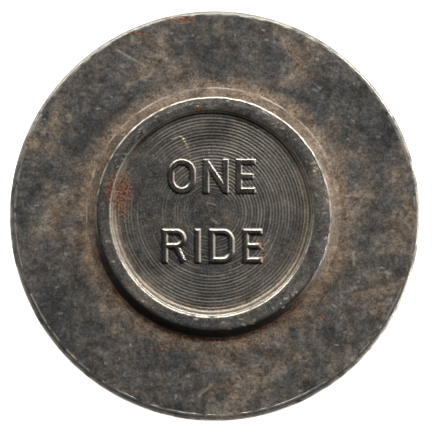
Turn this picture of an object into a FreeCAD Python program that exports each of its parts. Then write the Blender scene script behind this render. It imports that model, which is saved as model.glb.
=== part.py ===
import FreeCAD, Part
import math
import os

# A two-piece struck transit token: a steel flange ring locked around a struck centre plug.
# Millimetres, +Z along the token's axis. The origin is the centre of the plane it rests on.

# Overall sizes
RIM_RADIUS = 12.5
TOTAL_THICKNESS = 2.8
FLANGE_THICKNESS = 1.1
RIM_ROUND = 0.25

# Ring: the lip that climbs from the flange to the plug on each face
PLUG_RADIUS = 7.15
LIP_RISE = 0.59
LIP_REACH = 1.15
LIP_TILT = math.radians(45)

# Lock: a groove around the plug's edge, filled by the ring's metal when the token is struck
LOCK_DEPTH = 0.25
LOCK_HALF_HEIGHT = 0.30

# Plug: the raised land around the sunk dish on each face
CREST_OUTER_RADIUS = 6.76
CREST_INNER_RADIUS = 6.58
OUTER_SHOULDER_SAG = 0.060
INNER_SHOULDER_SAG = 0.012
WALL_TOP_RADIUS = 6.25
WALL_TOP_DROP = 0.045
WALL_FOOT_RADIUS = 5.89
DISH_DEPTH = 0.36

# Legend: raised strokes on the dish floor of each face
LETTER_HEIGHT = 2.05
STROKE_WIDTH = 0.33
LETTER_RELIEF = 0.10
LETTER_ROOT = 0.10
TOP_ROW_Y = 2.33
BOTTOM_ROW_Y = -1.85

HALF_THICKNESS = TOTAL_THICKNESS / 2
HALF_FLANGE = FLANGE_THICKNESS / 2
LIP_TOP = HALF_FLANGE + LIP_RISE
FLOOR_HEIGHT = HALF_THICKNESS - DISH_DEPTH
STROKE_END = (LETTER_HEIGHT - STROKE_WIDTH) / 2


def point(radius, height):
    """A point of a half section, at a radius from the axis and a height above the middle plane."""
    return FreeCAD.Vector(radius, 0, height)


def line(start, end):
    return Part.LineSegment(point(*start), point(*end)).toShape()


def arc(start, middle, end):
    return Part.Arc(point(*start), point(*middle), point(*end)).toShape()


def bulged(start, end, sag):
    """An arc from start to end that stands off their chord by sag, to the left of the way it runs."""
    run = end[0] - start[0]
    rise = end[1] - start[1]
    length = math.hypot(run, rise)
    middle_radius = (start[0] + end[0]) / 2 - rise / length * sag
    middle_height = (start[1] + end[1]) / 2 + run / length * sag
    return arc(start, (middle_radius, middle_height), end)


def both_halves(edges):
    """The half section above the middle plane, with its mirror image below it."""
    mirrored = [edge.mirror(FreeCAD.Vector(0, 0, 0), FreeCAD.Vector(0, 0, 1)) for edge in edges]
    return edges + mirrored


def turned(edges, seat_height):
    """The solid of revolution of a closed section, lifted by seat_height."""
    wire = Part.Wire(Part.__sortEdges__(edges))
    solid = Part.Face(wire).revolve(FreeCAD.Vector(0, 0, 0), FreeCAD.Vector(0, 0, 1), 360)
    solid.translate(FreeCAD.Vector(0, 0, seat_height))
    return solid


def lock_edges():
    """The upper half of the joint between the two pieces, from the groove's root to the lip's top."""
    root = (PLUG_RADIUS - LOCK_DEPTH, 0)
    mouth = (PLUG_RADIUS, LOCK_HALF_HEIGHT)
    return [line(root, mouth), line(mouth, (PLUG_RADIUS, LIP_TOP))]


def fillet_point(foot, radius, tilt):
    """The point of the fillet where its surface has the given tilt, counted from its foot on the flange."""
    return (foot - radius * math.sin(tilt), HALF_FLANGE + radius * (1 - math.cos(tilt)))


def outer_ring():
    """The flange, whose lip is a cone beside the plug and a fillet that runs out on the flange."""
    fillet_foot = PLUG_RADIUS + LIP_REACH
    fillet_radius = (LIP_REACH * math.tan(LIP_TILT) - LIP_RISE) / (1 / math.cos(LIP_TILT) - 1)
    fillet_head = fillet_point(fillet_foot, fillet_radius, LIP_TILT)
    fillet_middle = fillet_point(fillet_foot, fillet_radius, LIP_TILT / 2)
    round_centre = (RIM_RADIUS - RIM_ROUND, HALF_FLANGE - RIM_ROUND)
    diagonal = RIM_ROUND * math.sqrt(0.5)
    edges = lock_edges() + [
        line((PLUG_RADIUS, LIP_TOP), fillet_head),
        arc(fillet_head, fillet_middle, (fillet_foot, HALF_FLANGE)),
        line((fillet_foot, HALF_FLANGE), (round_centre[0], HALF_FLANGE)),
        arc(
            (round_centre[0], HALF_FLANGE),
            (round_centre[0] + diagonal, round_centre[1] + diagonal),
            (RIM_RADIUS, round_centre[1]),
        ),
        line((RIM_RADIUS, round_centre[1]), (RIM_RADIUS, 0)),
    ]
    return turned(both_halves(edges), HALF_THICKNESS)


def plug_blank():
    """The plug without its legend: the locked edge, the land and the sunk dish of both faces."""
    wall_top = (WALL_TOP_RADIUS, HALF_THICKNESS - WALL_TOP_DROP)
    wall_foot = (WALL_FOOT_RADIUS, FLOOR_HEIGHT)
    edges = lock_edges() + [
        bulged((CREST_OUTER_RADIUS, HALF_THICKNESS), (PLUG_RADIUS, LIP_TOP), OUTER_SHOULDER_SAG),
        line((CREST_INNER_RADIUS, HALF_THICKNESS), (CREST_OUTER_RADIUS, HALF_THICKNESS)),
        bulged(wall_top, (CREST_INNER_RADIUS, HALF_THICKNESS), INNER_SHOULDER_SAG),
        line(wall_foot, wall_top),
        line((0, FLOOR_HEIGHT), wall_foot),
    ]
    axis = line((0, -FLOOR_HEIGHT), (0, FLOOR_HEIGHT))
    return turned(both_halves(edges) + [axis], HALF_THICKNESS)


def bar(start, end):
    """A straight stroke with square ends between two points of its centre line."""
    run = end[0] - start[0]
    rise = end[1] - start[1]
    corner = FreeCAD.Vector(0, -STROKE_WIDTH / 2, 0)
    stroke = Part.makeBox(math.hypot(run, rise), STROKE_WIDTH, LETTER_ROOT + LETTER_RELIEF, corner)
    stroke.rotate(FreeCAD.Vector(0, 0, 0), FreeCAD.Vector(0, 0, 1), math.degrees(math.atan2(rise, run)))
    stroke.translate(FreeCAD.Vector(start[0], start[1], 0))
    return stroke


def bow(centre, radius, start_angle, sweep):
    """A round stroke, from start_angle and anticlockwise through sweep degrees."""
    height = LETTER_ROOT + LETTER_RELIEF
    origin = FreeCAD.Vector(0, 0, 0)
    up = FreeCAD.Vector(0, 0, 1)
    outside = Part.makeCylinder(radius + STROKE_WIDTH / 2, height, origin, up, sweep)
    inside = Part.makeCylinder(radius - STROKE_WIDTH / 2, height, origin, up)
    stroke = outside.cut(inside)
    stroke.rotate(origin, up, start_angle)
    stroke.translate(FreeCAD.Vector(centre[0], centre[1], 0))
    return stroke


def stem(x):
    return bar((x, -LETTER_HEIGHT / 2), (x, LETTER_HEIGHT / 2))


def letter_o(x):
    """Two half rings joined by straight sides, centred on x."""
    radius = 0.66
    straight = STROKE_END - radius
    return [
        bow((x, straight), radius, 0, 180),
        bow((x, -straight), radius, 180, 180),
        bar((x - radius, -straight), (x - radius, straight)),
        bar((x + radius, -straight), (x + radius, straight)),
    ]


def letter_n(x):
    half_width = 0.60
    return [
        stem(x - half_width),
        stem(x + half_width),
        bar((x - half_width, STROKE_END), (x + half_width, -STROKE_END)),
    ]


def letter_e(x):
    half_width = 0.50
    arms = [(STROKE_END, half_width), (0, 0.8 * half_width), (-STROKE_END, half_width)]
    return [stem(x - half_width)] + [bar((x - half_width, y), (x + reach, y)) for y, reach in arms]


def letter_r(x):
    half_width = 0.56
    bowl = STROKE_END / 2
    bowl_x = x + half_width - bowl
    return [
        stem(x - half_width),
        bar((x - half_width, STROKE_END), (bowl_x, STROKE_END)),
        bar((x - half_width, 0), (bowl_x, 0)),
        bow((bowl_x, bowl), bowl, -90, 180),
        bar((bowl_x, 0), (x + half_width, -LETTER_HEIGHT / 2 + STROKE_WIDTH / 4)),
    ]


def letter_d(x):
    half_width = 0.60
    corner = 0.55
    straight = STROKE_END - corner
    corner_x = x + half_width - corner
    return [
        stem(x - half_width),
        bar((x - half_width, STROKE_END), (corner_x, STROKE_END)),
        bar((x - half_width, -STROKE_END), (corner_x, -STROKE_END)),
        bow((corner_x, straight), corner, 0, 90),
        bow((corner_x, -straight), corner, 270, 90),
        bar((x + half_width, -straight), (x + half_width, straight)),
    ]


def legend():
    """The strokes of the face value, ONE over RIDE, standing on the middle plane."""
    top_row = letter_o(-1.95) + letter_n(0.13) + letter_e(2.05)
    bottom_row = letter_r(-2.43) + [stem(-0.985)] + letter_d(0.49) + letter_e(2.47)
    for stroke in top_row:
        stroke.translate(FreeCAD.Vector(0, TOP_ROW_Y, 0))
    for stroke in bottom_row:
        stroke.translate(FreeCAD.Vector(0, BOTTOM_ROW_Y, 0))
    return top_row + bottom_row


def center_plug():
    """The plug with the same legend on both faces, each upright when turned about the Y axis."""
    front = legend()
    for stroke in front:
        stroke.translate(FreeCAD.Vector(0, 0, HALF_THICKNESS + FLOOR_HEIGHT - LETTER_ROOT))
    back = [stroke.copy() for stroke in front]
    for stroke in back:
        stroke.rotate(FreeCAD.Vector(0, 0, HALF_THICKNESS), FreeCAD.Vector(0, 1, 0), 180)
    return plug_blank().fuse(front + back).removeSplitter()


def write(name, shape):
    solid = shape.Solids[0]
    assert len(shape.Solids) == 1 and solid.isValid(), name
    solid.exportStep(os.path.join("parts", name + ".step"))
    return solid


os.makedirs("parts", exist_ok=True)
ring = write("outer_ring", outer_ring())
plug = write("center_plug", center_plug())
print("shared volume, mm3:", ring.common(plug).Volume)
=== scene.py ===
import math

import bpy
import numpy as np
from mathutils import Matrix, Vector
from mathutils.geometry import delaunay_2d_cdt


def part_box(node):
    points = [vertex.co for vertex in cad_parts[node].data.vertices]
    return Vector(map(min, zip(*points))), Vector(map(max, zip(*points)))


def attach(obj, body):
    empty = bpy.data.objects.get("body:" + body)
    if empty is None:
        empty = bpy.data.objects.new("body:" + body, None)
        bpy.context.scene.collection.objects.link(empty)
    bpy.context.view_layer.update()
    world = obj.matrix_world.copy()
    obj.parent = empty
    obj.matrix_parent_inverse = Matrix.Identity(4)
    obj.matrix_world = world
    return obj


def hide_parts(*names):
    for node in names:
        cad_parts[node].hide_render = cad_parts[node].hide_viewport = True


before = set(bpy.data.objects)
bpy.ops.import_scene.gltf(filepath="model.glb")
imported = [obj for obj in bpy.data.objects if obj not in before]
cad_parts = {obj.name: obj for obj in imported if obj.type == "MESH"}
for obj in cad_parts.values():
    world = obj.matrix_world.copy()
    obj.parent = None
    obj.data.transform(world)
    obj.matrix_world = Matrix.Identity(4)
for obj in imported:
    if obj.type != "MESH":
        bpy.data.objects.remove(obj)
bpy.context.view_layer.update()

# ---------------------------------------------------------------- sizes, in millimetres
MM = 0.001
ring_low, ring_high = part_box("outer_ring")
plug_low, plug_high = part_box("center_plug")
RIM_RADIUS = (ring_high[0] - ring_low[0]) / 2 / MM
PLUG_RADIUS = (plug_high[0] - plug_low[0]) / 2 / MM
MIDDLE = (plug_high[2] + plug_low[2]) / 2 / MM
HALF_THICKNESS = (plug_high[2] - plug_low[2]) / 2 / MM
LIP_TOP = (ring_high[2] - ring_low[2]) / 2 / MM

# Sizes of the CAD that no node's box shows
HALF_FLANGE = 0.55
RIM_ROUND = 0.25
LOCK_DEPTH = 0.25
LOCK_HALF_HEIGHT = 0.30

# The struck centre sits a little off the rim's centre, and the dish a little off the plug's. The dish is
# slightly taller than it is wide.
PLUG_SHIFT = np.array([-0.070, 0.055])
DISH_SHIFT = np.array([-0.118, 0.113])
DISH_OVAL = 0.011

# The radius of the middle of the dish's sloping wall, and the band that it covers
WALL_MIDDLE = 6.07
DISH_WALL = (WALL_MIDDLE - 0.02, 0.28)

# The plug's face: how far it tilts outward, in degrees, at each radius
FACE_TILTS = [
    (0.00, 0.0),
    (WALL_MIDDLE - 0.86, 0.0),
    (WALL_MIDDLE - 0.36, -3.0),
    (WALL_MIDDLE - 0.23, -12.0),
    (WALL_MIDDLE - 0.13, -38.0),
    (WALL_MIDDLE, -47.0),
    (WALL_MIDDLE + 0.13, -28.0),
    (WALL_MIDDLE + 0.24, -12.0),
    (WALL_MIDDLE + 0.38, -4.0),
    (6.68, 0.0),
    (6.74, 7.0),
    (6.82, 18.0),
    (6.93, 33.0),
    (7.04, 44.0),
    (7.07, 44.0),
    (7.09, 24.0),
    (7.15, 21.0),
]

# The ring's lip: the same from the plug out to the flange
LIP_TILTS = [
    (7.15, 21.0),
    (7.165, 25.0),
    (7.19, 48.0),
    (7.42, 48.0),
    (7.56, 40.0),
    (7.67, 34.0),
    (7.72, 26.0),
    (7.77, 15.0),
    (7.84, 9.0),
    (8.05, 6.0),
    (8.30, 3.0),
    (8.55, 0.0),
]

# The dish's turned rings
TURNING_PITCH = 0.190
TURNING_HEIGHT = 0.0125

# The broken ridge along the rim, which lies a little further out at the top, and the painted shade just
# outside it on the low side
EDGE_RIDGE_RADIUS = 12.18
EDGE_RIDGE_RISE = 0.05
EDGE_RIDGE_WIDTH = 0.04
EDGE_RIDGE_HEIGHT = 0.014
EDGE_SHADE_RADIUS = 12.24

# The lip's bands, as the radius of their middle and their half width
# The first band is painted brighter on the lip's right side: part wear, part painted highlight
RUBBED_AND_LIT = (7.30, 0.30)
CONE = (7.45, 0.30)
DULLED = (7.60, 0.60)
LIP_LINE = (7.735, 0.055)
HAMMERED = (7.95, 0.35)

# The land's outer shoulder and the burr outside it, as radii
SHOULDER_START = 6.86
BURR_START = 7.07

# Mesh: points around, in plain and in detailed rows, and where the flange's detailed rows start
COARSE_COUNT = 480
FINE_COUNT = 960
DETAIL_START = 8.53

# Mesh of the plug: where the rows of the dish, the land and the burr start or end, the box that holds the
# legend, and how far the close grid reaches around the letters
DISH_ROWS_END = 5.90
LAND_ROWS_START = 5.92
LAND_ROWS_END = 7.04
BURR_ROWS_START = 7.055
LEGEND_LEFT_RIGHT = (-3.6, 3.6)
LEGEND_LOW_HIGH = (-3.4, 3.9)
AROUND_LETTERS = 0.16

# Legend: a letter's wall starts LETTER_FOOT outside its outline, and rises over the shoulder's width
LETTER_HEIGHT = 2.05
STROKE_WIDTH = 0.33
TOP_LETTER_RELIEF = 0.10
BOTTOM_LETTER_RELIEF = 0.13
LETTER_FOOT = 0.06
TOP_LETTER_SHOULDER = 0.12
BOTTOM_LETTER_SHOULDER = 0.17
TOP_ROW_Y = 2.33
BOTTOM_ROW_Y = -1.85
STROKE_END = (LETTER_HEIGHT - STROKE_WIDTH) / 2

# Rust: place, half width and half height, how strong
PLUG_RUST = [
    ((-5.70, 1.25), 1.25, 1.80, 1.0),
    ((-5.35, 0.10), 0.55, 1.10, 0.45),
    ((-0.78, 6.21), 0.28, 0.45, 0.9),
    ((-1.75, 4.20), 0.50, 0.32, 0.45),
    ((2.95, -1.99), 0.42, 0.75, 0.6),
    ((3.10, -2.60), 0.35, 0.55, 0.4),
]
RING_RUST = [
    ((-1.95, 11.96), 1.10, 0.35, 1.0),
    ((-4.60, 11.15), 1.30, 0.22, 0.5),
    ((6.50, -6.21), 0.38, 0.28, 0.8),
    ((2.58, 10.86), 0.22, 0.15, 0.7),
    ((5.90, 5.60), 0.60, 0.40, 0.35),
    ((2.40, -7.75), 1.40, 0.30, 0.42),
    ((-3.20, -8.05), 1.60, 0.35, 0.36),
]

# Scratches and dings: both ends, half width and height, where a cut is negative
RING_MARKS = [
    ((-5.95, 10.10), (-4.15, 9.05), 0.09, 0.008),
    ((-1.02, -11.00), (-0.20, -10.28), 0.07, 0.014),
    ((-2.42, -11.20), (-2.34, -10.88), 0.09, 0.016),
    ((8.46, -2.15), (8.50, -3.05), 0.09, 0.014),
    ((8.52, -4.30), (8.66, -4.46), 0.12, 0.016),
    ((10.30, -3.40), (10.66, -3.54), 0.10, 0.014),
    ((8.05, 1.15), (8.34, 1.24), 0.10, 0.014),
    ((5.95, 7.76), (6.30, 7.62), 0.14, -0.030),
    ((0.30, 11.25), (1.60, 11.15), 0.10, -0.005),
    ((-7.90, -3.30), (-6.90, -4.60), 0.07, -0.006),
    ((3.40, 9.60), (4.20, 9.90), 0.07, -0.006),
]
PLUG_MARKS = [
    ((-2.45, 4.40), (-1.90, 4.62), 0.09, 0.022),
    ((-1.90, 4.62), (-1.62, 4.30), 0.09, 0.022),
    ((-1.62, 4.30), (-1.45, 3.85), 0.08, 0.014),
    ((-0.30, 0.62), (0.25, 0.48), 0.06, 0.008),
    ((0.00, -0.35), (0.35, -0.62), 0.07, 0.010),
    ((2.75, -1.75), (3.20, -2.25), 0.09, 0.020),
    ((3.55, -1.60), (3.20, -1.95), 0.07, 0.012),
]

# A mark this high or deep is bared to bright metal, but a cut shines only by this share
DEEP_MARK = 0.020
CUT_SHINE = 0.3

# The inner and outer radius of the scattered dings on the flange and on the land
FLANGE_DINGS = (8.6, 12.0)
LAND_DINGS = (6.40, 7.05)


# ---------------------------------------------------------------- number helpers
def smooth(value):
    """0 below 0, 1 above 1, and an S-shaped step between them."""
    step = np.clip(value, 0.0, 1.0)
    return step * step * (3 - 2 * step)


def band(value, middle, half_width):
    """1 where the value is the middle one, and 0 from half_width away on both sides."""
    return smooth(1 - np.abs(value - middle) / half_width)


def noise(points, cell, seed):
    """Smooth random values from -1 to 1, with one new value in each cell of the given size."""
    size = 32
    table = np.random.default_rng(seed).uniform(-1, 1, (size, size, size))
    scaled = points / cell
    corner = np.floor(scaled).astype(int)
    step = scaled - corner
    step = step * step * (3 - 2 * step)
    total = np.zeros(len(points))
    for dx in (0, 1):
        for dy in (0, 1):
            for dz in (0, 1):
                share = np.abs(1 - dx - step[:, 0]) * np.abs(1 - dy - step[:, 1])
                share = share * np.abs(1 - dz - step[:, 2])
                index = (corner + (dx, dy, dz)) % size
                total += share * table[index[:, 0], index[:, 1], index[:, 2]]
    return total


def layered_noise(points, cell, seed, layers=3):
    """Noise with finer and fainter layers added."""
    total = np.zeros(len(points))
    for layer in range(layers):
        total += noise(points, cell / 2 ** layer, seed + layer) / 2 ** layer
    return total


def spot(x, y, centre, half_width, half_height):
    """A soft round or oval spot: 1 at its centre and 0 outside its half sizes."""
    across = (x - centre[0]) / half_width
    along = (y - centre[1]) / half_height
    return smooth(1 - np.sqrt(across * across + along * along))


def groove(x, y, start, end, width):
    """A soft straight line of the given half width, 1 along its middle."""
    run = np.subtract(end, start)
    length = math.hypot(*run)
    along = ((x - start[0]) * run[0] + (y - start[1]) * run[1]) / length
    aside = ((x - start[0]) * run[1] - (y - start[1]) * run[0]) / length
    ends = smooth(along / width + 0.5) * smooth((length - along) / width + 0.5)
    return smooth(1 - np.abs(aside) / width) * ends


def rust_mask(x, y, spots):
    """The strongest of some rust spots at each point."""
    drawn = [strength * spot(x, y, centre, width, height) for centre, width, height, strength in spots]
    return np.maximum.reduce(drawn)


def mark_heights(x, y, marks):
    """Heights of the scratches and dings, and a mask of where they have bared the metal."""
    height = np.zeros(len(x))
    bared = np.zeros(len(x))
    for start, end, width, rise in marks:
        line = groove(x, y, start, end, width)
        height += rise * line
        shine = 1.0 if rise > 0 else CUT_SHINE
        bared = np.maximum(bared, line * shine * min(abs(rise) / DEEP_MARK, 1.0))
    return height, bared


def scattered_marks(count, seed, radii, longest):
    """Small random dings between two radii, as both ends, half width and height."""
    rng = np.random.default_rng(seed)
    drawn = []
    for _ in range(count):
        radius = rng.uniform(*radii)
        turn = rng.uniform(0, 2 * math.pi)
        lean = rng.normal(0, 0.5)
        length = rng.uniform(0.08, longest)
        start = (radius * math.cos(turn), radius * math.sin(turn))
        end = (start[0] + length * math.cos(lean), start[1] + length * math.sin(lean))
        drawn.append((start, end, rng.uniform(0.05, 0.08), rng.uniform(0.006, 0.018)))
    return drawn


def around(points, cells, seed, radial_cell=1e6):
    """Noise with the given number of cells in a turn, and a cell every radial_cell along the radius."""
    radius = np.hypot(points[:, 0], points[:, 1]) + 1e-9
    scale = cells / (2 * math.pi)
    on_circle = points[:, :2] / radius[:, None] * scale
    return noise(np.column_stack([on_circle, radius / radial_cell]), 1.0, seed)


# ---------------------------------------------------------------- legend
def bar(x, y, start, end):
    """Signed distance from a straight stroke with slightly rounded corners."""
    corner = 0.05
    run = np.subtract(end, start)
    length = math.hypot(*run)
    middle = np.add(start, end) / 2
    along = ((x - middle[0]) * run[0] + (y - middle[1]) * run[1]) / length
    aside = ((x - middle[0]) * run[1] - (y - middle[1]) * run[0]) / length
    past_end = np.abs(along) - length / 2 + corner
    past_side = np.abs(aside) - STROKE_WIDTH / 2 + corner
    outside = np.hypot(np.maximum(past_end, 0), np.maximum(past_side, 0))
    return outside + np.minimum(np.maximum(past_end, past_side), 0) - corner


def bow(x, y, centre, radius, start_angle, sweep):
    """Signed distance from a round stroke that runs anticlockwise through sweep degrees."""
    dx = x - centre[0]
    dy = y - centre[1]
    middle_angle = math.radians(start_angle + sweep / 2)
    turned = np.arctan2(dy, dx) - middle_angle
    turned = np.abs((turned + math.pi) % (2 * math.pi) - math.pi)
    on_arc = np.abs(np.hypot(dx, dy) - radius)
    half_sweep = math.radians(sweep / 2)
    end_x = radius * math.cos(half_sweep)
    end_y = radius * math.sin(half_sweep)
    local_x = np.hypot(dx, dy) * np.cos(turned)
    local_y = np.hypot(dx, dy) * np.sin(turned)
    to_end = np.hypot(local_x - end_x, local_y - end_y)
    return np.where(turned > half_sweep, to_end, on_arc) - STROKE_WIDTH / 2


def stem(x, y, at):
    return bar(x, y, (at, -LETTER_HEIGHT / 2), (at, LETTER_HEIGHT / 2))


def letter_o(x, y, at):
    radius = 0.66
    straight = STROKE_END - radius
    return [
        bow(x, y, (at, straight), radius, 0, 180),
        bow(x, y, (at, -straight), radius, 180, 180),
        bar(x, y, (at - radius, -straight), (at - radius, straight)),
        bar(x, y, (at + radius, -straight), (at + radius, straight)),
    ]


def letter_n(x, y, at):
    half = 0.60
    diagonal = bar(x, y, (at - half, STROKE_END), (at + half, -STROKE_END))
    return [stem(x, y, at - half), stem(x, y, at + half), diagonal]


def letter_e(x, y, at):
    half = 0.50
    arms = [(STROKE_END, half), (0, 0.8 * half), (-STROKE_END, half)]
    drawn = [bar(x, y, (at - half, level), (at + reach, level)) for level, reach in arms]
    return drawn + [stem(x, y, at - half)]


def letter_r(x, y, at):
    half = 0.56
    bowl = STROKE_END / 2
    bowl_x = at + half - bowl
    foot = (at + half, -LETTER_HEIGHT / 2 + STROKE_WIDTH / 4)
    return [
        stem(x, y, at - half),
        bar(x, y, (at - half, STROKE_END), (bowl_x, STROKE_END)),
        bar(x, y, (at - half, 0), (bowl_x, 0)),
        bow(x, y, (bowl_x, bowl), bowl, -90, 180),
        bar(x, y, (bowl_x, 0), foot),
    ]


def letter_d(x, y, at):
    half = 0.60
    corner = 0.55
    straight = STROKE_END - corner
    corner_x = at + half - corner
    return [
        stem(x, y, at - half),
        bar(x, y, (at - half, STROKE_END), (corner_x, STROKE_END)),
        bar(x, y, (at - half, -STROKE_END), (corner_x, -STROKE_END)),
        bow(x, y, (corner_x, straight), corner, 0, 90),
        bow(x, y, (corner_x, -straight), corner, 270, 90),
        bar(x, y, (at + half, -straight), (at + half, straight)),
    ]


def legend_distance(x, y):
    """Signed distance from the outline of the face value, ONE over RIDE, negative inside its strokes."""
    # The legend stays on the plug's centre, so the dish's shift is taken off again.
    x = x + DISH_SHIFT[0]
    y = y + DISH_SHIFT[1]
    y_top = y - TOP_ROW_Y
    y_low = y - BOTTOM_ROW_Y
    strokes = letter_o(x, y_top, -1.95) + letter_n(x, y_top, 0.13) + letter_e(x, y_top, 2.05)
    strokes += letter_r(x, y_low, -2.43) + [stem(x, y_low, -0.985)]
    strokes += letter_d(x, y_low, 0.49) + letter_e(x, y_low, 2.47)
    return np.minimum.reduce(strokes)


# ---------------------------------------------------------------- mesh building
def make_piece(name, points, triangles, masks, material, node):
    """A mesh object from points in millimetres, which replaces a node and rides with the token."""
    mesh = bpy.data.meshes.new(name)
    mesh.from_pydata((points * MM).tolist(), [], triangles.tolist())
    mesh.shade_smooth()
    mesh.set_sharp_from_angle(angle=math.radians(62))
    for mask, values in masks.items():
        layer = mesh.attributes.new(mask, "FLOAT", "POINT")
        layer.data.foreach_set("value", values.astype(np.float32))
    mesh.materials.append(material)
    piece = bpy.data.objects.new(name, mesh)
    bpy.context.scene.collection.objects.link(piece)
    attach(piece, "root")
    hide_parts(node)
    return piece


def circle(count, radius):
    angles = np.arange(count) * 2 * math.pi / count
    return np.column_stack([radius * np.cos(angles), radius * np.sin(angles)])


def bridge(first, second):
    """Triangles between two closed rows of points, where one row may have twice the other's count."""
    count = len(first)
    here = first
    after = np.roll(first, -1)
    if len(second) == count:
        there = second
        there_after = np.roll(second, -1)
        return np.concatenate([
            np.column_stack([here, there, there_after]),
            np.column_stack([here, there_after, after]),
        ])
    if len(second) == 2 * count:
        near = second[0::2]
        between = second[1::2]
        far = np.roll(second, -2)[0::2]
        return np.concatenate([
            np.column_stack([here, near, between]),
            np.column_stack([here, between, after]),
            np.column_stack([after, between, far]),
        ])
    return bridge(second, first)[:, ::-1]


def shifted(points, radius):
    """Moves points of the centre off the rim's centre, less and less towards the rim, and wavers the seam."""
    fade_on_flange = 3.5
    land_start = 6.35
    land_width = 0.7
    plug_share = 1 - smooth((radius - PLUG_RADIUS) / fade_on_flange)
    dish_share = 1 - smooth((radius - land_start) / land_width)
    move = plug_share[:, None] * PLUG_SHIFT + dish_share[:, None] * DISH_SHIFT
    moved = points.copy()
    seam_share = band(radius, PLUG_RADIUS, 0.22)
    waver = 0.012 * around(points, 60, 41) + 0.012 * around(points, 170, 42) + 0.008 * around(points, 16, 43)
    to_upper_right = (0.85 * points[:, 0] + 0.53 * points[:, 1]) / np.maximum(radius, 1.0)
    waver -= 0.06 * smooth(to_upper_right / 0.4 - 1.5)
    moved[:, :2] *= (1 + seam_share * waver / np.maximum(radius, 1.0))[:, None]
    moved[:, :2] *= 1 + dish_share[:, None] * np.array([-DISH_OVAL, DISH_OVAL])
    moved[:, :2] += move
    return moved


# ---------------------------------------------------------------- outer ring
def drop_along(tilts, radius):
    """How far a surface with the given tilts falls from its first station to each radius."""
    stations = np.array(tilts)
    fine_radius = np.linspace(stations[0, 0], stations[-1, 0], 2000)
    slope = np.tan(np.radians(np.interp(fine_radius, stations[:, 0], stations[:, 1])))
    step = fine_radius[1] - fine_radius[0]
    drop = np.concatenate([[0], np.cumsum((slope[1:] + slope[:-1]) / 2 * step)])
    return np.interp(radius, fine_radius, drop)


def fillet_height(radius):
    """Height of the ring's face over the middle plane, down its lip and out along the flange."""
    whole_drop = drop_along(LIP_TILTS, RIM_RADIUS)
    return LIP_TOP - (LIP_TOP - HALF_FLANGE) * drop_along(LIP_TILTS, radius) / whole_drop


def ring_stations():
    """The ring's section as (radius, height, points around), from the bore over the front to the back."""
    lock_root = (PLUG_RADIUS - LOCK_DEPTH, 0.0, COARSE_COUNT)
    stations = [lock_root, (PLUG_RADIUS, LOCK_HALF_HEIGHT, COARSE_COUNT)]
    by_the_seam = np.array([0.0, 0.015, 0.03, 0.045, 0.07])
    for radius in np.concatenate([by_the_seam, np.arange(2, 27) * 0.05]) + PLUG_RADIUS:
        stations.append((radius, float(fillet_height(radius)), COARSE_COUNT))
    flat_end = RIM_RADIUS - RIM_ROUND
    by_the_ridge = np.linspace(12.06, 12.24, 7)
    for radius in np.concatenate([np.linspace(DETAIL_START, 12.03, 42), by_the_ridge]):
        stations.append((radius, float(fillet_height(radius)), FINE_COUNT))
    rounds = []
    for turn in np.radians(np.linspace(0, 90, 8)):
        drop = RIM_ROUND * (1 - math.cos(turn))
        rounds.append((flat_end + RIM_ROUND * math.sin(turn), HALF_FLANGE - drop))
    stations += [(radius, height, FINE_COUNT) for radius, height in rounds]
    wall = np.linspace(HALF_FLANGE - RIM_ROUND, RIM_ROUND - HALF_FLANGE, 9)[1:-1]
    stations += [(RIM_RADIUS, height, FINE_COUNT) for height in wall]
    stations += [(radius, -height, COARSE_COUNT) for radius, height in rounds[::-1]]
    for radius in np.linspace(flat_end - 0.1, DETAIL_START, 18):
        stations.append((radius, -HALF_FLANGE, COARSE_COUNT))
    for radius in np.arange(13, -1, -1) * 0.1 + PLUG_RADIUS:
        stations.append((radius, -float(fillet_height(radius)), COARSE_COUNT))
    stations.append((PLUG_RADIUS, -LOCK_HALF_HEIGHT, COARSE_COUNT))
    return stations


def ring_mesh():
    """The ring's points, their radii before any shift, and its triangles."""
    rows = []
    parts = []
    radii = []
    total = 0
    for radius, height, count in ring_stations():
        flat = circle(count, radius)
        parts.append(np.column_stack([flat, np.full(count, height)]))
        radii.append(np.full(count, radius))
        rows.append(np.arange(total, total + count))
        total += count
    triangles = [bridge(rows[i], rows[(i + 1) % len(rows)]) for i in range(len(rows))]
    points = np.concatenate(parts)
    radius = np.concatenate(radii)
    return points, radius, np.concatenate(triangles)[:, ::-1]


def low_side(points, radius):
    """1 at the bottom of a face and a little to its left, 0 on its upper half, and a soft change between."""
    return smooth(0.05 - 1.1 * (0.25 * points[:, 0] + 0.97 * points[:, 1]) / np.maximum(radius, 0.1))


def seam_burr(points, radius):
    """The uneven height of the burr along the seam, and where it is polished and painted bright. The bright
    share is partly a painted highlight: stronger to the right and fading out on the low side.
    """
    rise = 0.016 * around(points, 220, 46) * band(radius, PLUG_RADIUS - 0.02, 0.08)
    ragged = 0.6 * around(points, 130, 45) + 0.5 * around(points, 41, 49) + 0.3 * around(points, 310, 50)
    to_right = smooth(points[:, 0] / np.maximum(radius, 0.1) + 0.2)
    polish_and_highlight = (0.62 + 0.38 * to_right) * smooth(0.95 + ragged) * (1 - low_side(points, radius)) ** 2
    return rise, polish_and_highlight


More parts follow.
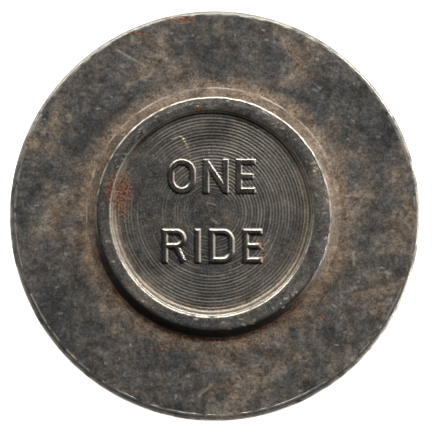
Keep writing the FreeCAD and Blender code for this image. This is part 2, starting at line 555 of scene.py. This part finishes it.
def ring_relief(points, radius):
    """The relief of the ring's faces, with masks of the ridge along its edge and of the bared marks."""
    x, y = points[:, 0], points[:, 1]
    ridge_radius = EDGE_RIDGE_RADIUS + EDGE_RIDGE_RISE * y / radius
    ridge = np.exp(-((radius - ridge_radius) / EDGE_RIDGE_WIDTH) ** 2)
    lower_left = smooth(-1.4 * (x + y) / radius)
    breaks = 1.5 * around(points, 230, 31) + 0.8 * around(points, 40, 32)
    # Stronger on the lower left, where the ridge's slope faces the lamp; in the bright mask this is partly a
    # painted highlight
    ridge *= np.clip(0.35 + 0.45 * lower_left + breaks, 0, 1.3)
    ridge *= 0.6 + 0.7 * lower_left
    marks, bared = mark_heights(x, y, RING_MARKS + scattered_marks(60, 61, FLANGE_DINGS, 0.30))
    relief = 0.010 * layered_noise(points, 2.6, 11, 4)
    relief += 0.0030 * layered_noise(points, 0.34, 21, 2)
    relief += 0.007 * band(radius, *HAMMERED) * around(points, 150, 33, 0.4)
    relief += 0.006 * band(radius, *CONE) * layered_noise(points, 0.30, 56, 2)
    relief += EDGE_RIDGE_HEIGHT * ridge + marks
    return relief, ridge, bared


def ring_masks(points, radius, ridge, bared):
    """Where the ring is stained, grimy, rubbed bare, rusted and dull, and where shade and highlights are
    painted on it.
    """
    x, y = points[:, 0], points[:, 1]
    low = low_side(points, radius)
    streaks = 0.85 + 0.30 * around(points, 60, 34, 0.9) + 0.25 * around(points, 150, 35, 0.5)
    # Dark seam band: faint dirt all round, plus a painted shadow of the plug that reaches further out and
    # darker on the low side
    seam_dark_edge = PLUG_RADIUS + 0.05 + 0.32 * low ** 2 + 0.03 * around(points, 90, 47)
    seam_dirt_and_shadow = smooth((seam_dark_edge - radius) / 0.10) * (0.10 + 0.90 * low)
    fringe = low * band(radius, seam_dark_edge + 0.06, 0.22) * smooth(0.7 + around(points, 50, 48))
    # Painted highlight: the lip's thin bright line, kept to the upper side, which faces the lamp
    lip_highlight = band(radius, *LIP_LINE) * smooth(0.45 + 1.2 * around(points, 60, 36))
    lip_highlight *= smooth((y - 0.6 * x) / radius + 0.3)
    ragged = 0.5 * around(points, 110, 37) + 0.5 * around(points, 37, 54) + 0.3 * around(points, 290, 55)
    # Wear along the rim, painted brighter towards the right side, where the low lamp lights it: part wear,
    # part painted highlight
    rim_wear_and_highlight = 0.60 + 0.30 * smooth(x / radius)
    rim_wear_and_highlight *= smooth((radius - RIM_RADIUS + 0.24) / 0.1) * smooth(0.95 + ragged)
    on_side = smooth((HALF_FLANGE - RIM_ROUND + 0.04 - np.abs(points[:, 2])) / 0.06)
    flattened = points * (1, 1, 2.5)
    scuffs = smooth(0.5 + 0.6 * layered_noise(flattened, 0.9, 51) + 0.4 * around(points, 420, 52))
    rim_wear_and_highlight *= 1 - on_side * (0.85 - 0.45 * scuffs)
    # The burr's polish, with its painted highlight
    seam = smooth((PLUG_RADIUS + 0.05 - radius) / 0.03) * seam_burr(points, radius)[1]
    right_side = smooth((x / radius - 0.50) / 0.45)
    # The lip painted brighter on its right side: part wear, part painted highlight
    right_lip_wear_and_highlight = 0.12 * right_side * band(radius, *RUBBED_AND_LIT)
    # Painted shade: a dark line just outside the edge ridge, on the low side only
    edge_shade = 0.6 * low * band(radius, EDGE_SHADE_RADIUS, 0.06)
    # Bright bare colour: real wear on marks, rim and burr, and painted highlights on the lip line, the rim's
    # and lip's right side, the burr's upper side and the edge ridge's lower left
    wear = [0.7 * lip_highlight, rim_wear_and_highlight, np.clip(1.3 * ridge, 0, 1), bared, seam, right_lip_wear_and_highlight]
    return {
        "stain": np.clip(smooth(1.20 - np.abs(radius - 7.50) / 1.15) * streaks * 0.95, 0, 1),
        "grime": np.maximum(seam_dirt_and_shadow, edge_shade),
        "wear": np.clip(np.maximum.reduce(wear), 0, 1),
        "rust": np.maximum(rust_mask(x, y, RING_RUST), 0.65 * fringe),
        "dull": 0.5 * band(radius, *DULLED) * (1 - right_side),
    }


def build_ring(material):
    """The flange and its lip, with the back's relief and masks as they look when the token is turned over."""
    points, radius, triangles = ring_mesh()
    side = np.sign(points[:, 2])
    facing = points.copy()
    facing[:, 0] *= np.sign(points[:, 2] + 1e-9)
    on_face = smooth((radius - PLUG_RADIUS - 0.02) / 0.1) * (np.abs(points[:, 2]) > HALF_FLANGE - 0.1)
    relief, ridge, bared = ring_relief(facing, radius)
    masks = ring_masks(facing, radius, ridge * on_face, bared * on_face)
    on_seam = np.abs(points[:, 2]) > LIP_TOP - 0.2
    points[:, 2] += side * (relief * on_face + seam_burr(facing, radius)[0] * on_seam)
    on_side = (radius > RIM_RADIUS - 1e-6) * smooth(1.2 - np.abs(points[:, 2]) / 0.3)
    cut = 0.012 + 0.012 * around(points, 400, 38)
    cut += 0.014 * smooth(points[:, 2] / 0.12 + 0.4 * around(points, 50, 39))
    points[:, :2] *= (1 - on_side * np.maximum(cut, 0) / RIM_RADIUS)[:, None]
    points = shifted(points, radius)
    points[:, 2] += MIDDLE
    return make_piece("outer_ring_steel", points, triangles, masks, material, "outer_ring")


# ---------------------------------------------------------------- centre plug
def face_height(radius):
    """Height of the plug's face over the middle plane, with the crest of its land the highest."""
    lowest_drop = drop_along(FACE_TILTS, np.linspace(0, PLUG_RADIUS, 500)).min()
    return HALF_THICKNESS + lowest_drop - drop_along(FACE_TILTS, radius)


def disc_points(ring_step, around_step, letter_step, edge_count):
    """Points over a face of the plug: rows around the dish and land, and a close grid around the letters."""
    rows = [np.zeros((1, 2))]
    for index, radius in enumerate(np.arange(ring_step, DISH_ROWS_END, ring_step)):
        count = max(8, int(2 * math.pi * radius / around_step))
        row = circle(count, radius)
        if index % 2:
            half = math.pi / count
            turn = np.array([[math.cos(half), math.sin(half)], [-math.sin(half), math.cos(half)]])
            row = row @ turn
        rows.append(row)
    dish = np.concatenate(rows)
    dish = dish[legend_distance(dish[:, 0], dish[:, 1]) >= AROUND_LETTERS]
    columns = np.arange(*LEGEND_LEFT_RIGHT, letter_step)
    lines = np.arange(*LEGEND_LOW_HIGH, letter_step * 0.87)
    grid_x, grid_y = np.meshgrid(columns, lines)
    grid_x[1::2] += letter_step / 2
    grid = np.column_stack([grid_x.ravel(), grid_y.ravel()])
    grid = grid[legend_distance(grid[:, 0], grid[:, 1]) < AROUND_LETTERS]
    for contour in (LETTER_FOOT - TOP_LETTER_SHOULDER, 0.0, LETTER_FOOT):
        grid = snapped(grid, contour, letter_step / 3)
    land_row_count = int((LAND_ROWS_END - LAND_ROWS_START) / ring_step)
    land_radii = np.linspace(LAND_ROWS_START, LAND_ROWS_END, land_row_count)
    burr_radii = np.linspace(BURR_ROWS_START, PLUG_RADIUS, 8)
    land = [circle(edge_count, radius) for radius in np.concatenate([land_radii, burr_radii])]
    return np.concatenate([dish, grid] + land)


def snapped(grid, contour, reach):
    """Moves the points within reach of one contour of the legend onto it."""
    probe = 0.004
    x, y = grid[:, 0], grid[:, 1]
    distance = legend_distance(x, y)
    slope_x = (legend_distance(x + probe, y) - legend_distance(x - probe, y)) / (2 * probe)
    slope_y = (legend_distance(x, y + probe) - legend_distance(x, y - probe)) / (2 * probe)
    move = np.where(np.abs(distance - contour) < reach, distance - contour, 0)
    return np.column_stack([x - move * slope_x, y - move * slope_y])


def face_mesh(ring_step, around_step, letter_step, edge_count):
    """One face of the plug as points and upward triangles, with the indices of its edge in order."""
    flat = disc_points(ring_step, around_step, letter_step, edge_count)
    found = delaunay_2d_cdt([Vector(p) for p in flat.tolist()], [], [], 0, 1e-6, False)
    flat = np.array([list(v) for v in found[0]])
    triangles = np.array([f for f in found[2] if len(f) == 3])
    a, b, c = (flat[triangles[:, i]] for i in range(3))
    area = (b[:, 0] - a[:, 0]) * (c[:, 1] - a[:, 1]) - (b[:, 1] - a[:, 1]) * (c[:, 0] - a[:, 0])
    triangles[area < 0] = triangles[area < 0][:, ::-1]
    radius = np.hypot(flat[:, 0], flat[:, 1])
    edge = np.flatnonzero(radius > PLUG_RADIUS - 1e-4)
    edge = edge[np.argsort(np.arctan2(flat[edge, 1], flat[edge, 0]) % (2 * math.pi))]
    return flat, triangles, edge


def letter_climb(x, y):
    """How far up its rounded wall each point of the legend is, from 0 at the foot to 1 at the flat top."""
    wall_width = np.where(y > 0, TOP_LETTER_SHOULDER, BOTTOM_LETTER_SHOULDER)
    return np.clip((LETTER_FOOT - legend_distance(x, y)) / wall_width, 0, 1)


def wall_aim(x, y):
    """1 where a letter's wall faces the top of the token and a little right, and -1 where it faces away."""
    probe = 0.02
    ahead = legend_distance(x + 0.3 * probe, y + 0.95 * probe)
    behind = legend_distance(x - 0.3 * probe, y - 0.95 * probe)
    return (ahead - behind) / (2 * probe)


def turned_rings(flat, radius, seed):
    """The dish's turned rings, from -1 in a valley to 1 on a crest, fainter and stronger in places."""
    x, y = flat[:, 0], flat[:, 1]
    seeded = np.column_stack([flat, np.full(len(flat), float(seed))])
    on_rings = np.column_stack([2 * x / (radius + 0.5), 2 * y / (radius + 0.5), radius / TURNING_PITCH])
    rings = np.cos(2 * math.pi * radius / TURNING_PITCH + 0.8 * noise(seeded, 1.5, seed + 1))
    strength = 0.50 + 0.70 * smooth((0.5 * x + 0.87 * y) / 4) + 0.40 * smooth((-y - 2) / 3)
    strength += 0.5 * noise(on_rings, 1.0, seed + 2) + 0.3 * noise(seeded, 2.2, seed + 8)
    strength *= smooth((radius - 0.6) / 1.2)
    return rings * np.clip(strength, 0, 1.4)


def face_relief(flat, radius, turning, seed):
    """Height of one struck face, where its turned rings show, and where marks have bared the metal."""
    x, y = flat[:, 0], flat[:, 1]
    climb = letter_climb(x, y)
    letters = 0.25 * climb + 0.75 * np.sqrt(1 - (1 - climb) ** 2)
    letter_relief = np.where(y > 0, TOP_LETTER_RELIEF, BOTTOM_LETTER_RELIEF)
    turned = smooth((WALL_MIDDLE + 0.14 - radius) / 0.10) * (1 - letters)
    marks, bared = mark_heights(x, y, PLUG_MARKS + scattered_marks(70, seed + 11, LAND_DINGS, 0.26))
    seeded = np.column_stack([flat, np.full(len(flat), float(seed))])
    height = face_height(radius)
    height += TURNING_HEIGHT * turning * turned * (1 + 0.9 * band(radius, *DISH_WALL))
    height += letter_relief * letters + marks + seam_burr(flat, radius)[0]
    height += 0.004 * layered_noise(seeded, 1.4, seed + 3, 3)
    height += 0.0022 * noise(seeded, 0.17, seed + 6)
    return height, turned, bared


def face_masks(flat, radius, turning, turned, bared, seed):
    """Where one struck face is stained, grimy, rubbed bare, rusted and dull, and where shade and highlights
    are painted on it.
    """
    x, y = flat[:, 0], flat[:, 1]
    climb = letter_climb(x, y)
    wall = band(radius, *DISH_WALL)
    low = low_side(flat, radius)
    high_side = smooth((y / np.maximum(radius, 0.1) - 0.35) / 0.4)
    in_dish = smooth((WALL_MIDDLE - 0.20 - radius) / 0.25)
    letter_walls = smooth(climb / 0.15) * smooth((1.0 - climb) / 0.25)
    # Which way each letter wall faces: walls towards the lamp get a painted highlight, walls away from it
    # painted shade
    upward = wall_aim(x, y)
    shoulder = band(radius, WALL_MIDDLE + 0.15, 0.08)
    shoulder *= smooth(0.9 + 0.6 * around(flat, 70, seed + 9) + 0.4 * around(flat, 330, seed + 10))
    # Wear on the dish wall, bright mostly on the low side, which faces the lamp: part wear, part painted
    # highlight
    wall_wear_and_highlight = 0.85 * wall * (0.3 + 0.7 * low) * (1 - high_side) * (0.15 + 0.85 * smooth(0.5 + turning))
    upper_stain = 0.70 * spot(x, y, (0.10, 4.75), 3.6, 1.5)
    stained_floor = upper_stain + 0.40 * spot(x, y, (-0.10, -4.60), 2.6, 1.2)
    # Painted shadow: the letters' outline moved down and left, dark where it falls on the floor
    letter_shadows = smooth(-legend_distance(x + 0.05, y + 0.09) / 0.05) * (1 - smooth(climb / 0.3))
    # Bright bare colour: wear on the marks and the rings' crests, painted highlights on the letter walls that
    # face the lamp, and the dish shoulder, dish wall and burr part wear and part painted highlight
    worn_and_lit = [
        # painted highlight on the letter walls that face the lamp
        letter_walls * smooth(0.1 + 1.6 * upward),
        # the dish's shoulder, kept off the upper side: part wear, part painted highlight
        0.95 * shoulder * (1 - 0.8 * high_side),
        wall_wear_and_highlight,
        # the burr's polish, with its painted highlight
        smooth((radius - BURR_START) / 0.02) * seam_burr(flat, radius)[1],
        bared,
        0.5 * smooth((turning - 0.2) / 0.9) * turned * (1 - stained_floor),
    ]
    # Dark colour: dirt in the dish, stains and darker letter tops, together with painted shade and painted
    # shadows
    dirt_and_painted_shade = [
        0.07 * in_dish,
        stained_floor,
        # painted shade in the crease at every letter's foot
        0.6 * band(legend_distance(x, y), LETTER_FOOT + 0.01, 0.06) * in_dish,
        0.5 * smooth((climb - 0.8) / 0.2),
        0.9 * letter_shadows * in_dish,
        # painted shade on the letter walls that face away from the lamp
        0.9 * letter_walls * smooth(0.2 - 2.0 * upward),
        # painted shade on the upper side of the dish wall, which faces away from the lamp
        0.75 * band(radius, WALL_MIDDLE, 0.24) * high_side,
        # painted shadow on the land's outer shoulder and burr, on the low side
        0.95 * low ** 0.6 * smooth((radius - SHOULDER_START) / 0.18),
        # darker in the rings' valleys
        0.36 * smooth(-turning) * turned,
    ]
    return {
        "stain": 0.8 * band(radius, WALL_MIDDLE - 0.21, 0.45) * (1 - high_side),
        "grime": np.maximum.reduce(dirt_and_painted_shade),
        "wear": np.maximum.reduce(worn_and_lit),
        "rust": rust_mask(x, y, PLUG_RUST),
        "dull": smooth((radius - 6.5) / 0.25) * smooth((7.06 - radius) / 0.04),
    }


def struck_face(flat, seed):
    """Heights and masks of one struck face of the plug."""
    radius = np.hypot(flat[:, 0], flat[:, 1])
    turning = turned_rings(flat, radius, seed)
    height, turned, bared = face_relief(flat, radius, turning, seed)
    return height, face_masks(flat, radius, turning, turned, bared, seed)


def build_plug(material):
    """Both struck faces and the locked edge between them. The back has a coarser mesh than the front."""
    edge_count = COARSE_COUNT
    front_flat, front_triangles, front_edge = face_mesh(
        ring_step=0.038, around_step=0.105, letter_step=0.037, edge_count=edge_count
    )
    back_flat, back_triangles, back_edge = face_mesh(
        ring_step=0.0633, around_step=0.15, letter_step=0.065, edge_count=edge_count
    )
    front_height, front_masks = struck_face(front_flat, 100)
    back_height, back_masks = struck_face(back_flat, 200)
    front = np.column_stack([front_flat, front_height])
    back = np.column_stack([-back_flat[:, 0], back_flat[:, 1], -back_height])
    side_heights = [LOCK_HALF_HEIGHT, 0.0, -LOCK_HALF_HEIGHT]
    side_radii = [PLUG_RADIUS, PLUG_RADIUS - LOCK_DEPTH, PLUG_RADIUS]
    side = [
        np.column_stack([circle(edge_count, radius), np.full(edge_count, height)])
        for radius, height in zip(side_radii, side_heights)
    ]
    points = np.concatenate([front, back] + side)
    back_start = len(front)
    side_start = back_start + len(back)
    turn = np.arctan2(back[back_edge, 1], back[back_edge, 0]) % (2 * math.pi)
    back_row = back_start + back_edge[np.argsort(np.round(turn, 9))]
    rows = [front_edge] + [side_start + i * edge_count + np.arange(edge_count) for i in range(3)] + [back_row]
    strips = [bridge(rows[i], rows[i + 1])[:, ::-1] for i in range(4)]
    back_faces = back_triangles + back_start
    triangles = np.concatenate([front_triangles, back_faces] + strips)
    pad = np.zeros(3 * edge_count)
    masks = {key: np.concatenate([front_masks[key], back_masks[key], pad]) for key in front_masks}
    radius = np.hypot(points[:, 0], points[:, 1])
    points = shifted(points, radius)
    points[:, 2] += MIDDLE
    return make_piece("center_plug_steel", points, triangles, masks, material, "center_plug")


# ---------------------------------------------------------------- materials
COLD_STEEL = (0.052, 0.058, 0.060, 1)
PIT = (0.03, 0.03, 0.03, 1)
DARK_RUST = (0.055, 0.020, 0.011, 1)
PALE_RUST = (0.33, 0.150, 0.078, 1)
# The dark colour of dirt and of painted shade
DIRT_AND_SHADE_TONE = (0.012, 0.0085, 0.006, 1)
COOL_TINT = (0.96, 1.00, 1.04, 1)
WARM_TINT = (1.05, 1.00, 0.94, 1)


def add(tree, kind, inputs=None, **settings):
    """Adds a node, sets its properties, and links or sets its inputs."""
    node = tree.nodes.new("ShaderNode" + kind)
    for key, value in settings.items():
        setattr(node, key, value)
    for key, value in (inputs or {}).items():
        if isinstance(value, bpy.types.NodeSocket):
            tree.links.new(value, node.inputs[key])
        else:
            node.inputs[key].default_value = value
    return node


def math_node(tree, operation, first, second=0.0):
    return add(tree, "Math", {0: first, 1: second}, operation=operation).outputs[0]


def blended(tree, factor, first, second, how="MIX"):
    """The first colour, mixed with the second by the factor."""
    node = add(tree, "Mix", {0: factor, 6: first, 7: second}, data_type="RGBA", blend_type=how)
    return node.outputs[2]


def ramped(tree, value, low, high, out_low=0.0, out_high=1.0):
    """A value mapped from one range to another with a smooth step."""
    inputs = {"Value": value, "From Min": low, "From Max": high, "To Min": out_low, "To Max": out_high}
    return add(tree, "MapRange", inputs, interpolation_type="SMOOTHSTEP").outputs[0]


def texture_noise(tree, place, scale, detail=4.0, roughness=0.6, distortion=0.0):
    inputs = {"Vector": place, "Scale": scale, "Detail": detail, "Roughness": roughness}
    inputs["Distortion"] = distortion
    return add(tree, "TexNoise", inputs).outputs[0]


def mask(tree, name):
    """One of the masks that the mesh carries."""
    return add(tree, "Attribute", attribute_name=name).outputs["Fac"]


def mottled_colour(tree, place, mottle, grain, specks, dark, middle, pale, tan):
    """The steel's colour under its rust, dirt, bare metal and painted light and shade: large patches, stains,
    tints, mottle and pits.
    """
    drift = texture_noise(tree, place, 0.28, 4.0, 0.75, 0.3)
    patches = texture_noise(tree, place, 0.60, 4.0, 0.65, 0.6)
    blots = texture_noise(tree, place, 2.4, 2.0, 0.5, 0.5)
    hue = texture_noise(tree, place, 0.9, 2.0, 0.5)
    colour = blended(tree, ramped(tree, drift, 0.36, 0.52), dark, middle)
    colour = blended(tree, ramped(tree, drift, 0.50, 0.66), colour, pale)
    colour = blended(tree, ramped(tree, patches, 0.55, 0.64, 0.0, 0.5), colour, COLD_STEEL)
    stain = math_node(tree, "MULTIPLY", mask(tree, "stain"), ramped(tree, mottle, 0.36, 0.58, 0.55, 1.0))
    colour = blended(tree, stain, colour, tan)
    tint = blended(tree, ramped(tree, hue, 0.36, 0.64), COOL_TINT, WARM_TINT)
    colour = blended(tree, 1.0, colour, tint, "MULTIPLY")
    colour = blended(tree, 1.0, colour, ramped(tree, mottle, 0.36, 0.64, 0.60, 1.45), "MULTIPLY")
    colour = blended(tree, 1.0, colour, ramped(tree, grain, 0.30, 0.70, 0.62, 1.38), "MULTIPLY")
    pits = math_node(tree, "MAXIMUM", ramped(tree, specks, 0.68, 0.76), ramped(tree, blots, 0.66, 0.74))
    return blended(tree, math_node(tree, "MULTIPLY", pits, 0.55), colour, PIT)


def set_finish(tree, shader, mottle, grain, specks, wear, rust_share):
    """Sets how metallic and how rough the steel is, its thin coat and its fine relief."""
    dull = mask(tree, "dull")
    metallic = ramped(tree, wear, 0.0, 1.0, 0.55, 0.95)
    metallic = math_node(tree, "MULTIPLY", metallic, ramped(tree, dull, 0.0, 1.0, 1.0, 0.35))
    metallic = math_node(tree, "MULTIPLY", metallic, ramped(tree, rust_share, 0.0, 1.0, 1.0, 0.15))
    tree.links.new(metallic, shader.inputs["Metallic"])
    shader.inputs["Coat Weight"].default_value = 0.12
    shader.inputs["Coat Roughness"].default_value = 0.20
    rough = ramped(tree, mottle, 0.35, 0.65, 0.50, 0.64)
    rough = math_node(tree, "SUBTRACT", rough, math_node(tree, "MULTIPLY", wear, 0.26))
    rough = math_node(tree, "ADD", rough, math_node(tree, "MULTIPLY", dull, 0.28))
    tree.links.new(rough, shader.inputs["Roughness"])
    rusty = math_node(tree, "MULTIPLY", math_node(tree, "MULTIPLY", specks, rust_share), 1.5)
    fine_relief = math_node(tree, "ADD", grain, math_node(tree, "MULTIPLY", specks, 0.5))
    height = math_node(tree, "ADD", fine_relief, rusty)
    bump = add(tree, "Bump", {"Strength": 1.0, "Distance": 0.014 * MM, "Height": height})
    tree.links.new(bump.outputs[0], shader.inputs["Normal"])


def steel(name, dark, middle, pale, tan, bare, glint):
    """Worn, stained steel: mottled colour, stains, rust, dirt with painted shade, and brighter bare edges
    with painted highlights.
    """
    material = bpy.data.materials.new(name)
    material.use_nodes = True
    tree = material.node_tree
    shader = tree.nodes["Principled BSDF"]
    object_place = add(tree, "TexCoord").outputs["Object"]
    place = add(tree, "VectorMath", {0: object_place, "Scale": 1 / MM}, operation="SCALE").outputs[0]
    wear = mask(tree, "wear")
    rust = mask(tree, "rust")
    mottle = texture_noise(tree, place, 1.0, 6.0, 0.92)
    grain = texture_noise(tree, place, 7.0, 3.0, 0.7)
    specks = texture_noise(tree, place, 13.0, 1.5, 0.6)
    sparkle = texture_noise(tree, place, 10.0, 1.0, 0.5)

    colour = mottled_colour(tree, place, mottle, grain, specks, dark, middle, pale, tan)
    glints = math_node(tree, "MULTIPLY", ramped(tree, sparkle, 0.62, 0.72), glint)
    colour = blended(tree, glints, colour, bare)
    rust_tone = blended(tree, ramped(tree, grain, 0.42, 0.60), DARK_RUST, PALE_RUST)
    rust_share = math_node(tree, "ADD", rust, math_node(tree, "MULTIPLY", specks, 1.6))
    in_rust = ramped(tree, rust, 0.02, 0.25)
    rust_share = math_node(tree, "MULTIPLY", ramped(tree, rust_share, 0.95, 1.35), in_rust)
    colour = blended(tree, rust_share, colour, rust_tone)
    # Dark colour where the mask of dirt and painted shade says
    colour = blended(tree, math_node(tree, "MULTIPLY", mask(tree, "grime"), 0.92), colour, DIRT_AND_SHADE_TONE)
    # Bare, bright colour where the mask of wear and painted highlights says
    bright = math_node(tree, "MULTIPLY", wear, ramped(tree, grain, 0.25, 0.5, 0.5, 1.0))
    bright = math_node(tree, "MULTIPLY", bright, ramped(tree, rust_share, 0.0, 1.0, 1.0, 0.4))
    colour = blended(tree, bright, colour, bare)
    tree.links.new(colour, shader.inputs["Base Color"])
    set_finish(tree, shader, mottle, grain, specks, wear, rust_share)
    return material


# ---------------------------------------------------------------- stage, light and camera
def plain_stage(name, points, faces, grey, glow):
    """A stage piece of one grey, from 0 to 1, that also gives off white light."""
    mesh = bpy.data.meshes.new(name)
    mesh.from_pydata(points, [], faces)
    piece = bpy.data.objects.new(name, mesh)
    bpy.context.scene.collection.objects.link(piece)
    material = bpy.data.materials.new(name)
    material.use_nodes = True
    shader = material.node_tree.nodes["Principled BSDF"]
    shader.inputs["Base Color"].default_value = (grey, grey, grey, 1)
    shader.inputs["Roughness"].default_value = 1.0
    shader.inputs["Specular IOR Level"].default_value = 0.0
    shader.inputs["Emission Color"].default_value = (1, 1, 1, 1)
    shader.inputs["Emission Strength"].default_value = glow
    mesh.materials.append(material)
    return piece


def build_floor():
    """A pale plate that catches the token's shadow, and a white surround, which only the camera sees.

    The plate lies just under the lowest ding of the back face.
    """
    count = 64
    plate_radius = 0.032
    surround_radius = 0.9
    level = -0.03 * MM
    plate = [(x, y, level) for x, y in circle(count, plate_radius)]
    foot = [(x, y, level) for x, y in circle(count, surround_radius)]
    top = [(x, y, surround_radius) for x, y in circle(count, surround_radius)]
    plain_stage("floor", plate, [tuple(range(count))], 0.8, 0.97)
    faces = []
    for i in range(count):
        j = (i + 1) % count
        faces.append((i, j, count + j, count + i))
        faces.append((count + i, count + j, 2 * count + j, 2 * count + i))
    surround = plain_stage("surround", plate + foot + top, faces, 0.0, 1.05)
    surround.visible_diffuse = False
    surround.visible_glossy = False
    surround.visible_shadow = False


def build_right_lamp():
    """A small low lamp far to the right."""
    lamp = bpy.data.lights.new("right_lamp", "AREA")
    lamp.shape = "RECTANGLE"
    lamp.size = 0.50
    lamp.size_y = 0.15
    lamp.energy = 3.4
    lamp_object = bpy.data.objects.new("right_lamp", lamp)
    lamp_object.location = (1.15, -0.35, 0.38)
    lamp_object.rotation_euler = lamp_object.location.to_track_quat("Z", "Y").to_euler()
    bpy.context.scene.collection.objects.link(lamp_object)


def build_lights():
    """One long strip lamp over the top edge at 45 degrees, most of it to the right, and a faint even fill."""
    distance = 0.60
    elevation = math.radians(45)
    left_end = -0.60
    right_end = 2.30
    watts_per_metre = 3.9
    lamp = bpy.data.lights.new("strip", "AREA")
    lamp.shape = "RECTANGLE"
    lamp.size = right_end - left_end
    lamp.size_y = 0.06
    lamp.energy = watts_per_metre * lamp.size
    lamp_object = bpy.data.objects.new("strip", lamp)
    middle = (left_end + right_end) / 2
    lamp_object.location = (middle, distance * math.cos(elevation), distance * math.sin(elevation))
    lamp_object.rotation_euler = (elevation - math.pi / 2, 0, 0)
    bpy.context.scene.collection.objects.link(lamp_object)
    world = bpy.data.worlds.new("studio")
    world.use_nodes = True
    background = world.node_tree.nodes["Background"]
    background.inputs["Color"].default_value = (1, 1, 1, 1)
    background.inputs["Strength"].default_value = 0.02
    bpy.context.scene.world = world


def build_camera():
    """Straight above the token and far off on a long lens, so that its face is seen flat."""
    view_height = 26.78 * MM
    aim = Vector((0.136, -0.245)) * MM
    camera = bpy.data.cameras.new("camera")
    camera.lens = 200
    camera.sensor_width = 36
    camera.clip_start = 0.001
    camera.clip_end = 10
    camera_object = bpy.data.objects.new("camera", camera)
    distance = view_height / camera.sensor_width * camera.lens
    flange_top = (MIDDLE + HALF_FLANGE) * MM
    camera_object.location = (aim[0], aim[1], flange_top + distance)
    bpy.context.scene.collection.objects.link(camera_object)
    bpy.context.scene.camera = camera_object


bpy.context.scene.view_settings.view_transform = "Standard"
ring_steel = steel(
    "ring_steel",
    dark=(0.076, 0.075, 0.072, 1),
    middle=(0.148, 0.133, 0.116, 1),
    pale=(0.280, 0.227, 0.177, 1),
    tan=(0.340, 0.248, 0.170, 1),
    bare=(0.80, 0.75, 0.66, 1),
    glint=0.06,
)
plug_steel = steel(
    "plug_steel",
    dark=(0.072, 0.070, 0.066, 1),
    middle=(0.105, 0.096, 0.085, 1),
    pale=(0.165, 0.145, 0.122, 1),
    tan=(0.27, 0.20, 0.145, 1),
    bare=(0.82, 0.73, 0.60, 1),
    glint=0.25,
)
ring = build_ring(ring_steel)
plug = build_plug(plug_steel)
build_floor()
build_lights()
build_right_lamp()
build_camera()
